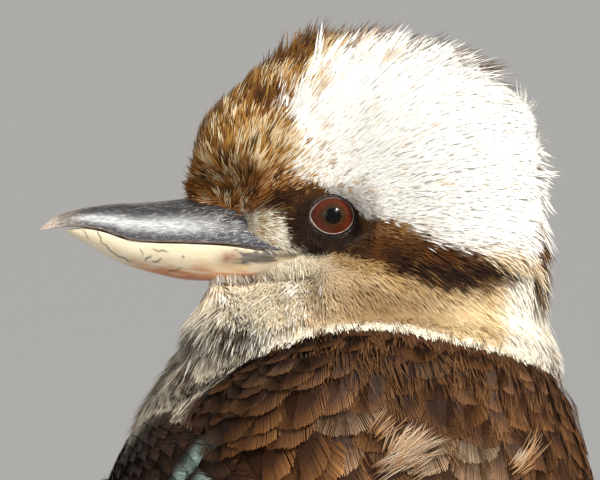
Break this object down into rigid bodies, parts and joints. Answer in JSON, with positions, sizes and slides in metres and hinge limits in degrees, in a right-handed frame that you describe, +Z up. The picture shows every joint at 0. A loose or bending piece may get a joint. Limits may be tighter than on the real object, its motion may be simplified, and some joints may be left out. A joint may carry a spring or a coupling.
{
  "type": "laughing kookaburra model",
  "caption": "Still, life-size model of a laughing kookaburra standing with its feathers fluffed and its head turned left.",
  "frame": {"origin": "on the ground, under the middle of the bird's box", "axes": "the body faces -X, its left side faces -Y, +Z is up"},
  "size_m": [0.3202, 0.1426, 0.2679],
  "materials": {
    "head_feathers": "soft barbed feathers, cream and white with brown streaks",
    "neck_feathers": "soft barbed feathers, cream",
    "body_feathers": "soft barbed feathers, brown above and cream below",
    "wing_feathers": "firm vaned feathers, dark brown with pale blue coverts",
    "tail_feathers": "firm vaned feathers, rufous barred with black",
    "leg_feathers": "soft short feathers, cream",
    "bill_dark": "smooth dark grey horn with scuffs",
    "bill_pale": "smooth ivory horn",
    "eye": "wet and clear over a brown iris",
    "foot_skin": "scaly olive grey skin",
    "claw": "smooth black horn"
  },
  "bodies": {
    "root": {"head": "head_feathers", "neck": "neck_feathers", "torso": "body_feathers", "tail": "tail_feathers", "bill_upper": "bill_dark", "bill_lower": "bill_pale", "eye_left": "eye", "eye_right": "eye", "wing_left": "wing_feathers", "wing_right": "wing_feathers", "thigh_left": "leg_feathers", "thigh_right": "leg_feathers", "foot_left": "foot_skin", "foot_right": "foot_skin", "claw_left_inner": "claw", "claw_left_middle": "claw", "claw_left_outer": "claw", "claw_left_hind": "claw", "claw_right_inner": "claw", "claw_right_middle": "claw", "claw_right_outer": "claw", "claw_right_hind": "claw"}
  },
  "joints": []
}
